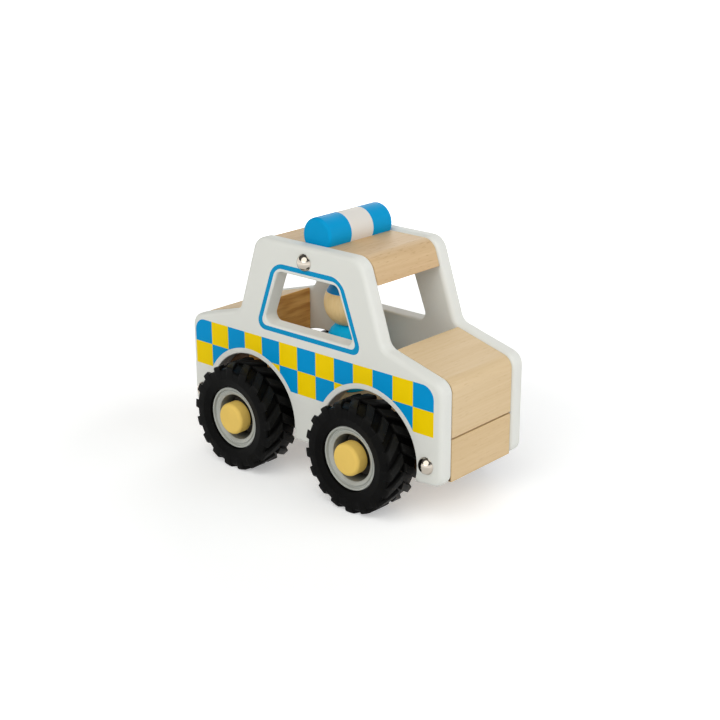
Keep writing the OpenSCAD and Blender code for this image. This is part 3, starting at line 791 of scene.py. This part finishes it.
# radius, distance from the middle of the car and rounding of each corner of a rim, mm
rim_section = [
    (3.06, 18.9, 0), (5.0, 18.9, 0.4), (5.35, 24.8, 0.3), (10.6, 24.8, 0.3), (10.95, RIM_BACK, 0.2),
    (13.0, RIM_BACK, 0.3), (13.0, 23.2, 0.2), (12.2, 23.2, 0.1), (12.2, 34.8, 0.1), (13.0, 34.8, 0.2),
    (13.0, RIM_FACE, 0.35), (12.2, RIM_FACE, 0.25), (11.9, 34.6, 0.15), (11.4, 34.6, 0.15), (11.1, 35.2, 0.2),
    (9.6, 34.4, 0.35), (9.25, 27.0, 0.5), (5.35, 27.0, 0.3), (5.0, 32.1, 0.3), (3.06, 32.1, 0), (3.06, 18.9, 0),
]
for end, hand, axle, side in WHEELS:
    at = sideways(axle.x, axle.z, side)
    node = f"{end}_{hand}_hub_cap"
    low, high = box_mm(node)
    cap_r = (high.x - low.x) / 2
    near, far = sorted((abs(low.y), abs(high.y)))
    cap = profile_of([(0, near, 0), (cap_r, near, CAP_FOOT), (cap_r, far, CAP_ROUND), (0, far, 0)])
    finish_piece(node + "_painted", turned(bmesh.new(), cap, at), cap_paint, node)
    node = f"{end}_{hand}_rim"
    rim = finish_piece(node + "_moulded", turned_ring(rim_section, at), rim_plastic, node)
    # painted shade down the rim's well
    share_of_shade_and_sheen(rim.data, [abs(v.co.y) / MM for v in rim.data.vertices], *WELL_SHADE)
print("wheels dressed:", len(WHEELS))

# %% [markdown]
# ## The driver and the light bar
#
# The driver is a peg with round shoulders under a ball. The light bar is a length of thick dowel with a flat
# planed along it where it is glued to the roof. It is turned whole and then cut by a plane.

# %% Driver
PEG_FOOT, SHOULDER = 0.4, 6.0       # rounding of the peg's foot and shoulders, mm
BALL_RINGS = 40
low, high = box_mm("driver_body")
driver_axis = upright((low.x + high.x) / 2, 0)
peg_r = (high.x - low.x) / 2
peg = profile_of([(0, low.z, 0), (peg_r, low.z, PEG_FOOT), (peg_r, high.z, SHOULDER), (0, high.z, 0)])
finish_piece("driver_body_painted", turned(bmesh.new(), peg, driver_axis), driver_paint,
             "driver_body")
flat = math.acos((head_z - head_low.z) / head_r)
ball = [(head_r * math.sin(t), head_z - head_r * math.cos(t)) for t in np.linspace(flat, math.pi, BALL_RINGS)]
ball = [(0, head_low.z), *ball[:-1], (0, head_high.z)]
finish_piece("driver_head_turned", turned(bmesh.new(), ball, driver_axis), head_finish, "driver_head")
print("driver's peg has radius", round(peg_r, 1), "and the ball", round(head_r, 1))

# %% Light bar
BAR_ROUND = 1.2                     # rounded ends of the light bar, mm
low, high = box_mm("light_bar")
bar_r, bar_half = (high.x - low.x) / 2, (high.y - low.y) / 2
bar = profile_of([(0, -bar_half, 0), (bar_r, -bar_half, BAR_ROUND), (bar_r, bar_half, BAR_ROUND),
                  (0, bar_half, 0)])
bar = turned(bmesh.new(), bar, sideways((low.x + high.x) / 2, high.z - bar_r, 1))
parts = [*bar.verts, *bar.edges, *bar.faces]
cut = bmesh.ops.bisect_plane(bar, geom=parts, plane_co=(0, 0, low.z), plane_no=(0, 0, -1), clear_outer=True)
flat_edges = [e for e in cut["geom_cut"] if isinstance(e, bmesh.types.BMEdge)]
bmesh.ops.edgeloop_fill(bar, edges=flat_edges)
bmesh.ops.recalc_face_normals(bar, faces=bar.faces)
finish_piece("light_bar_painted", bar, bar_paint, "light_bar")
print("light bar radius", round(bar_r, 2), "length", round(2 * bar_half, 1))

# %% [markdown]
# ## Domed caps
#
# Three tie rods hold the boards together, and each end is closed by a pressed dome of nickel plate. The three
# on one side are one CAD node, so they are turned into one mesh.

# %% Domed caps
DOME_R, DOME_H, DOME_LIP = 3.5, 2.7, 0.25   # mm
DOME_RINGS, DOME_STEPS = 20, 48
sphere_r = (DOME_R ** 2 + DOME_H ** 2) / (2 * DOME_H)
dome = [(0, outer_y), (DOME_R - DOME_LIP, outer_y), (DOME_R, outer_y + DOME_LIP)]
# the lip stands in for the ball's first two rings, and a single point for its last
for t in np.linspace(math.asin(DOME_R / sphere_r), 0, DOME_RINGS)[2:-1]:
    dome.append((sphere_r * math.sin(t), outer_y + DOME_H - sphere_r * (1 - math.cos(t))))
dome.append((0, outer_y + DOME_H))
rods = [middle_mm(f"{place}_tie_rod") for place in ("roof", "front", "rear")]
for hand, side in SIDES:
    domes = bmesh.new()
    for rod in rods:
        turned(domes, dome, sideways(rod.x, rod.z, side), DOME_STEPS)
    node = f"{hand}_dome_caps"
    finish_piece(node + "_plated", domes, dome_nickel, node, sharp=60)
print("rods at", [(round(r.x, 1), round(r.z, 1)) for r in rods])

# %% [markdown]
# ## Tyres by Geometry Nodes
#
# A tyre is a smooth carcass with a ring of moulded lugs on each half of its tread, one ring standing between
# the lugs of the other. What repeats is made by Geometry Nodes: the carcass comes in as the object's own mesh,
# and the tree sets a copy of one lug at each step round the axle, on both halves. The lugs are lofted once, in
# code, because they bend in two ways: they trail back along the tread, and they roll over the shoulder.

# %% One lug
LUGS, LUG_TRAIL = 17, 6.0            # lugs on each half, and how far a lug trails along the tread, mm
PITCH = 2 * math.pi / LUGS
TYRE_R, TYRE_HALF, LUG_GAP = 22.2, 8.2, 0.4   # radius, half width, and room between the halves' lugs, mm
LUG_SHARP = math.radians(38)
# across a lug, from its front foot to its rear foot: share of the pitch, and share of its height
LUG_SHAPE = [(0, 0), (0.042, 0.86), (0.062, 1), (0.2, 1), (0.34, 1), (0.488, 1), (0.508, 0.86), (0.55, 0)]
# along a lug, from the tread's middle over the shoulder: distance out, radius of top and foot, mm
LUG_PATH = [(0.4, 21.9, 20.5), (0.55, 22.2, 20.5), (3.7, 22.2, 20.5), (7.35, 22.2, 20.4), (7.7, 22.1, 20.3),
            (7.93, 21.9, 20.1), (8.05, 21.6, 19.8), (8.13, 20.2, 18.4), (8.2, 17.4, 16.9)]


def lug(name, half):
    """One lug of the tread's outer (half 1) or inner (half -1) side, lofted about the axle at the origin."""
    bm = bmesh.new()
    rows = []
    for out, top, foot in LUG_PATH:
        trail = LUG_TRAIL / TYRE_R * (out - LUG_GAP) / TYRE_HALF
        row = []
        for share, level in LUG_SHAPE:
            r, a = foot + (top - foot) * level, share * PITCH + trail
            row.append(bm.verts.new((r * math.cos(a), half * out, -r * math.sin(a))))
        rows.append(row)
    loft(bm, rows)
    bm.faces.new(rows[0])
    bm.faces.new(reversed(rows[-1]))
    bmesh.ops.recalc_face_normals(bm, faces=bm.faces)
    mesh = as_mesh(name, bm)
    mesh.set_sharp_from_angle(angle=LUG_SHARP)
    return bpy.data.objects.new(name, mesh)


outer_lug, inner_lug = lug("outer_lug", 1), lug("inner_lug", -1)
print("faces of a lug:", len(outer_lug.data.polygons))


# %% The tread tree
def tread_tree():
    """Geometry Nodes: carcass in, carcass with both rings of lugs out."""
    tree = bpy.data.node_groups.new("Lugged tread", "GeometryNodeTree")
    face = tree.interface
    face.new_socket("Geometry", in_out="INPUT", socket_type="NodeSocketGeometry")
    for name, kind in (("Wheel centre", "Vector"), ("Lugs per side", "Int"), ("Turn", "Float"),
                       ("Outer lug", "Object"), ("Inner lug", "Object"), ("Rubber", "Material")):
        face.new_socket(name, in_out="INPUT", socket_type="NodeSocket" + kind)
    face.new_socket("Geometry", in_out="OUTPUT", socket_type="NodeSocketGeometry")
    given = tree.nodes.new("NodeGroupInput").outputs
    join = tree.nodes.new("GeometryNodeJoinGeometry")
    tree.links.new(given["Geometry"], join.inputs[0])
    spots = {"Count": given["Lugs per side"], "Position": given["Wheel centre"]}
    spots = add(tree, "GeometryNodePoints", spots)
    pitch = add(tree, "ShaderNodeMath", {0: 2 * math.pi, 1: given["Lugs per side"]}, operation="DIVIDE")
    number = add(tree, "GeometryNodeInputIndex")
    for socket, offset in (("Outer lug", 0.0), ("Inner lug", 0.5)):
        shape = add(tree, "GeometryNodeObjectInfo", {"Object": given[socket]}, out="Geometry")
        step = add(tree, "ShaderNodeMath", {0: number, 1: offset}, operation="ADD")
        angle = add(tree, "ShaderNodeMath", {0: step, 1: pitch, 2: given["Turn"]}, operation="MULTIPLY_ADD")
        turn = add(tree, "ShaderNodeCombineXYZ", {1: angle})
        ring = {"Points": spots, "Instance": shape, "Rotation": turn}
        ring = add(tree, "GeometryNodeInstanceOnPoints", ring)
        tree.links.new(ring, join.inputs[0])
    solid = add(tree, "GeometryNodeRealizeInstances", {0: join.outputs[0]})
    painted = add(tree, "GeometryNodeSetMaterial", {"Geometry": solid, "Material": given["Rubber"]})
    add(tree, "NodeGroupOutput", {0: painted})
    return tree


tread = tread_tree()
sockets = {s.name: s.identifier for s in tread.interface.items_tree if s.in_out == "INPUT"}
print("tread nodes:", len(tread.nodes), "inputs:", list(sockets))

# %% Tyres
TYRE_STEPS = 132
# Painted sheen: the tops of the lugs are painted greyer, for the soft highlights on them
LUG_SHEEN = (21.2, 22.0)                        # the rubber greys between these radii, on the tops of the lugs, mm
ON_FLOOR = {"front": 0.05, "rear": 0.5}    # which edge of a lug stands on the floor, as a share of the pitch
# radius, distance outwards from the tyre's middle and rounding of each corner of half a carcass, mm
outer_half = [(20.8, 3.7, 0), (20.7, 7.7, 0.4), (20.0, 8.05, 0.4), (16.9, 8.2, 3.0), (13.35, 7.5, 0.4),
              (13.05, 5.75, 0.3), (12.25, 5.75, 0)]
inner_half = [(r, -out, corner) for r, out, corner in reversed(outer_half)]
for end, hand, _, side in WHEELS:
    node = f"{end}_{hand}_tyre"
    middle = middle_mm(node)
    at = sideways(middle.x, middle.z, side, middle.y)
    carcass = turned_ring([*inner_half, *outer_half, inner_half[0]], at, TYRE_STEPS)
    worker = bpy.data.objects.new(node + "_carcass", as_mesh(node, carcass))
    bpy.context.scene.collection.objects.link(worker)
    modifier = worker.modifiers.new("tread", "NODES")
    modifier.node_group = tread
    modifier[sockets["Wheel centre"]] = middle * MM
    modifier[sockets["Lugs per side"]] = LUGS
    modifier[sockets["Turn"]] = math.pi / 2 - PITCH * ON_FLOOR[end]
    modifier[sockets["Outer lug"]] = outer_lug if side > 0 else inner_lug
    modifier[sockets["Inner lug"]] = inner_lug if side > 0 else outer_lug
    modifier[sockets["Rubber"]] = tyre_rubber
    graph = bpy.context.evaluated_depsgraph_get()
    made = bpy.data.meshes.new_from_object(worker.evaluated_get(graph), depsgraph=graph)
    bpy.data.objects.remove(worker)
    radii = [math.hypot(v.co.x / MM - middle.x, v.co.z / MM - middle.z) for v in made.vertices]
    share_of_shade_and_sheen(made, radii, *LUG_SHEEN)
    tyre = bpy.data.objects.new(node + "_moulded", made)
    put_on_car(tyre, node)
    print(tyre.name, len(made.polygons), "faces")
for helper in (outer_lug, inner_lug):
    bpy.data.objects.remove(helper)

# %% [markdown]
# ## Pieces that stay as the CAD made them
#
# Axles, dowels and tie rods are plain rods, mostly hidden in their holes. Their CAD solids are right as they
# are and only take a finish.

# %% Rods and dowels
ROD_FINISHES = {
    "front_axle": dowel_beech, "rear_axle": dowel_beech, "driver_dowel": turned_beech,
    "light_bar_dowels": turned_beech, "roof_tie_rod": rod_steel, "front_tie_rod": rod_steel,
    "rear_tie_rod": rod_steel,
}
for node, material in ROD_FINISHES.items():
    rod = frame["nodes"][node]
    rod.data.materials.clear()
    rod.data.materials.append(material)
print("CAD nodes with a finish of their own:", len(ROD_FINISHES))

# %% [markdown]
# ## Studio
#
# The car stands on a white sweep: a floor that curves up into a low wall all round, so that every view ends in
# white and the bright metal mirrors white below and a dark ceiling above. Seen directly or in a mirror, the
# sweep is lifted towards white, a little near the car and fully further off, which keeps the car's own soft
# shadow. A large soft box left of the camera lights the near side, a lower one on the right lights the front,
# and a small low one behind keeps the far side clear. All are low, so the sides are brighter than the tops.

# %% Paper of the sweep
def studio_white(name, lift, reach):
    """Matt white paper. Seen directly or in a mirror, its lift grows to white between two distances, m."""
    material, tree, place = new_material(name)
    tooth = add(tree, "ShaderNodeTexNoise", {"Vector": place, "Scale": PER_M / 1.5, "Detail": 2.0})
    relief = add(tree, "ShaderNodeBump", {"Strength": 0.05, "Distance": 0.05 * MM, "Height": tooth})
    paper = add(tree, "ShaderNodeBsdfDiffuse", {"Color": linear("#F2F2F2"), "Normal": relief})
    away = add(tree, "ShaderNodeVectorMath", {0: place}, out="Value", operation="LENGTH")
    away = {"Value": away, "From Min": reach[0], "From Max": reach[1], "To Min": lift, "To Max": 1.0}
    away = add(tree, "ShaderNodeMapRange", away)
    path = tree.nodes.new("ShaderNodeLightPath").outputs
    seen = {0: path["Is Camera Ray"], 1: path["Is Glossy Ray"]}
    seen = add(tree, "ShaderNodeMath", seen, operation="MAXIMUM")
    seen = add(tree, "ShaderNodeMath", {0: seen, 1: path["Is Transmission Ray"]}, operation="MAXIMUM")
    seen = add(tree, "ShaderNodeMath", {0: seen, 1: away}, operation="MULTIPLY")
    glow = add(tree, "ShaderNodeEmission", {"Color": (1, 1, 1, 1), "Strength": seen})
    both = add(tree, "ShaderNodeAddShader", {0: paper, 1: glow})
    add(tree, "ShaderNodeOutputMaterial", {"Surface": both})
    return material


LIFT, REACH = 0.33, (0.12, 0.5)      # share of white near the car, and metres between which it grows to all
sweep_paper = studio_white("White paper sweep", LIFT, REACH)
print("paper nodes:", len(sweep_paper.node_tree.nodes))

# %% Floor
FLOOR_MID, FLOOR_R, SWEEP_R, WALL_TOP = 600.0, 1900.0, 400.0, 850.0    # mm
turns = np.linspace(0, math.pi / 2, 13)
bend = [(FLOOR_R + SWEEP_R * math.sin(t), SWEEP_R * (1 - math.cos(t))) for t in turns]
sweep = [(0, 0), (FLOOR_MID, 0), *bend, (FLOOR_R + SWEEP_R, WALL_TOP)]
sweep_mesh = as_mesh("studio_sweep", turned(bmesh.new(), sweep, upright(0, 0)))
sweep_mesh.materials.append(sweep_paper)
sweep_object = bpy.data.objects.new("studio_sweep", sweep_mesh)
bpy.context.scene.collection.objects.link(sweep_object)
sweep_object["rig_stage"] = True
print("floor radius:", FLOOR_R, "mm")

# %% Light
CEILING = 0.13                           # strength of the even light from above and around
LAMP_AIM = Vector((0, 0, 0.05))          # middle of the car, m
# azimuth and elevation in degrees, distance and width in metres, watts, colour
LAMPS = {
    "main soft box": (14, 42, 1.3, 1.7, 13.8, "#FCFDFA"),
    "right soft box": (112, 24, 1.3, 1.5, 9.3, "#FAFCFF"),
    "back soft box": (205, 22, 1.4, 1.1, 7.4, "#FFFFFF"),
}
world = bpy.data.worlds.new("studio ceiling")
bpy.context.scene.world = world
world.use_nodes = True
world.node_tree.nodes.clear()
ceiling = add(world.node_tree, "ShaderNodeBackground", {"Color": (1, 1, 1, 1), "Strength": CEILING})
add(world.node_tree, "ShaderNodeOutputWorld", {"Surface": ceiling})


def direction(azimuth, elevation):
    """Unit vector away from the car. Azimuth 0 is straight out from its right side, 90 straight ahead."""
    a, e = math.radians(azimuth), math.radians(elevation)
    return Vector((math.sin(a) * math.cos(e), -math.cos(a) * math.cos(e), math.sin(e)))


for name, (azimuth, elevation, distance, width, watts, colour) in LAMPS.items():
    lamp = bpy.data.lights.new(name, "AREA")
    lamp.shape, lamp.size, lamp.energy, lamp.color = "DISK", width, watts, linear(colour)[:3]
    holder = bpy.data.objects.new(name, lamp)
    bpy.context.scene.collection.objects.link(holder)
    out = direction(azimuth, elevation)
    holder.location = LAMP_AIM + out * distance
    holder.rotation_euler = out.to_track_quat("Z", "Y").to_euler()
    holder.visible_camera = False
print("lamps:", list(LAMPS))

# %% [markdown]
# ## Camera
#
# The camera stands where the photographer stood: off the right front corner, a little above, with a portrait
# lens. Its axes are built from the viewing angles, with a slight roll.

# %% Camera
VIEW_AZIMUTH, VIEW_ELEVATION, VIEW_ROLL = 41.94, 19.40, -0.27   # degrees
AIM = Vector((4.6, 0.3, 46.6)) * MM
DISTANCE = 0.5706                        # m
LENS, SENSOR = 70.0, 36.0                # mm
camera = bpy.data.cameras.new("camera")
camera.lens, camera.sensor_width = LENS, SENSOR
camera.clip_start, camera.clip_end = 0.01, 20.0
viewer = bpy.data.objects.new("camera", camera)
bpy.context.scene.collection.objects.link(viewer)
back = direction(VIEW_AZIMUTH, VIEW_ELEVATION)
level = direction(VIEW_AZIMUTH + 90, 0)
upward = back.cross(level)
roll = math.radians(VIEW_ROLL)
right = math.cos(roll) * level + math.sin(roll) * upward
up = math.cos(roll) * upward - math.sin(roll) * level
viewer.rotation_euler = Matrix((right, up, back)).transposed().to_euler()
viewer.location = AIM + back * DISTANCE
bpy.context.scene.camera = viewer
bpy.context.scene.view_settings.view_transform = "Standard"
print("camera at", [round(v, 3) for v in viewer.location])

# %% [markdown]
# ## Sizes
#
# The box of the dressed car is printed in millimetres. The dressed car has to stay inside the
# CAD model's box.

# %% Sizes and finish
low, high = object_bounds()
print("visual box in mm:", [round(v / MM, 1) for v in high - low])
